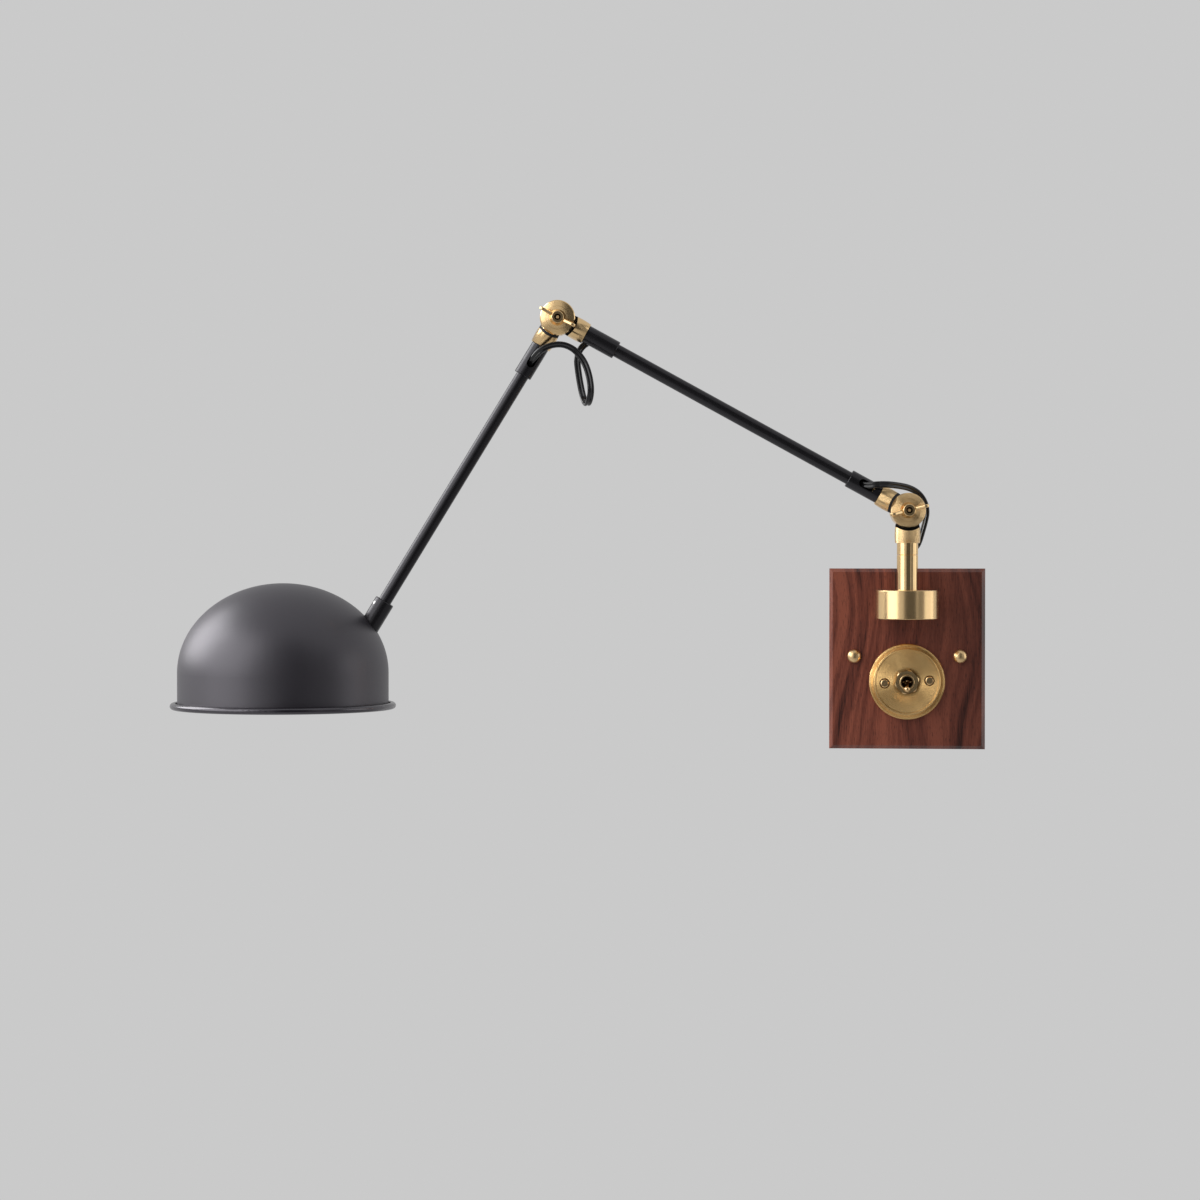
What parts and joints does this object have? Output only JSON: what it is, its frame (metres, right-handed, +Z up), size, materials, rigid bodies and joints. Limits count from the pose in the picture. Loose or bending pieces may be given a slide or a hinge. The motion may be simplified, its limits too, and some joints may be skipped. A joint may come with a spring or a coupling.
{
  "type": "articulating wall lamp",
  "caption": "Jointed wall lamp: wooden plate with a dolly switch, brass cup and turning stem, black tube arms clamped by wing nuts, domed metal shade.",
  "frame": {"origin": "middle of the wooden plate's back face, on the wall", "axes": "+X to the viewer's right along the wall, +Y into the wall, +Z up; the front faces -Y"},
  "size_m": [0.6486, 0.1897, 0.36],
  "materials": {
    "walnut": "oiled walnut with dark straight grain",
    "black_paint": "satin black lacquer",
    "shade_paint": "matte dark anthracite enamel outside, off-white inside",
    "brass": "polished brass, slightly worn",
    "aged_brass": "satin aged brass",
    "steel": "zinc plated",
    "fibre": "vulcanised fibre",
    "bakelite": "dark phenolic moulding",
    "white_plastic": "moulded nylon",
    "flex": "glossy black twin flex",
    "frosted_glass": "frosted white bulb",
    "nickel": "nickel plated lamp cap"
  },
  "bodies": {
    "wall_base": {"backplate": "walnut", "wall_crossbar": "steel", "crossbar_studs": "steel", "cap_nuts": "brass", "terminal_block": "white_plastic", "canopy_cup": "brass", "base_cap": "brass", "cup_nipple": "steel", "nipple_nuts": "steel", "lower_stem": "brass", "stem_nut": "steel", "swivel_grub_screw": "steel", "base_lead": "flex", "switch_base": "aged_brass", "switch_cover": "aged_brass", "switch_body": "bakelite", "switch_bush": "brass", "switch_nut": "brass", "switch_screws": "aged_brass"},
    "toggle": {"toggle_lever": "brass"},
    "swivel": {"upper_stem": "brass", "stem_lead": "flex", "shoulder_rear_knuckle": "brass", "shoulder_washer": "fibre", "shoulder_bolt": "brass", "shoulder_cord": "flex"},
    "shoulder_nut": {"shoulder_wing_nut": "brass"},
    "arm_1": {"arm_1_lower_knuckle": "brass", "arm_1_lower_sleeve": "black_paint", "arm_1_tube": "black_paint", "arm_1_lead": "flex", "arm_1_upper_sleeve": "black_paint", "arm_1_upper_knuckle": "brass", "elbow_washer": "fibre", "elbow_bolt": "brass", "elbow_cord": "flex"},
    "elbow_nut": {"elbow_wing_nut": "brass"},
    "arm_2": {"arm_2_knuckle": "brass", "arm_2_sleeve": "black_paint", "arm_2_tube": "black_paint", "arm_2_lead": "flex"},
    "head": {"shade": "shade_paint", "shade_collar": "black_paint", "collar_grub_screw": "steel", "shade_nipple": "steel", "saddle_washer": "brass", "shade_nut": "steel", "lampholder_cap": "bakelite", "lampholder_shell": "bakelite", "bulb_cap": "nickel", "bulb_globe": "frosted_glass", "head_lead": "flex"}
  },
  "joints": [
    {"name": "arm_swivel", "type": "hinge", "parent": "wall_base", "child": "swivel", "pos_m": [0, -0.046, 0.084], "axis": [0, 0, 1], "range_deg": [0, 167]},
    {"name": "shoulder_tilt", "type": "hinge", "parent": "swivel", "child": "arm_1", "pos_m": [0, -0.046, 0.1197], "axis": [-0.108, 0.9942, 0], "range_deg": [-45, 60], "deforming": ["shoulder_cord"]},
    {"name": "elbow_fold", "type": "hinge", "parent": "arm_1", "child": "arm_2", "pos_m": [-0.27835, -0.07624, 0.27299], "axis": [-0.108, 0.9942, 0], "range_deg": [-25, 84], "deforming": ["elbow_cord"]},
    {"name": "shade_turn", "type": "hinge", "parent": "arm_2", "child": "head", "pos_m": [-0.27835, -0.07624, 0.27299], "axis": [-0.518, -0.0563, -0.8536], "range_deg": [-90, 90]},
    {"name": "shoulder_nut_turn", "type": "hinge", "parent": "swivel", "child": "shoulder_nut", "pos_m": [0, -0.046, 0.1197], "axis": [0.108, -0.9942, 0], "range_deg": [0, 360]},
    {"name": "elbow_nut_turn", "type": "hinge", "parent": "arm_1", "child": "elbow_nut", "pos_m": [-0.27835, -0.07624, 0.27299], "axis": [0.108, -0.9942, 0], "range_deg": [0, 360]},
    {"name": "switch_toggle", "type": "hinge", "parent": "wall_base", "child": "toggle", "pos_m": [0, -0.0308, -0.0184], "axis": [-1, 0, 0], "range_deg": [0, 40]}
  ]
}
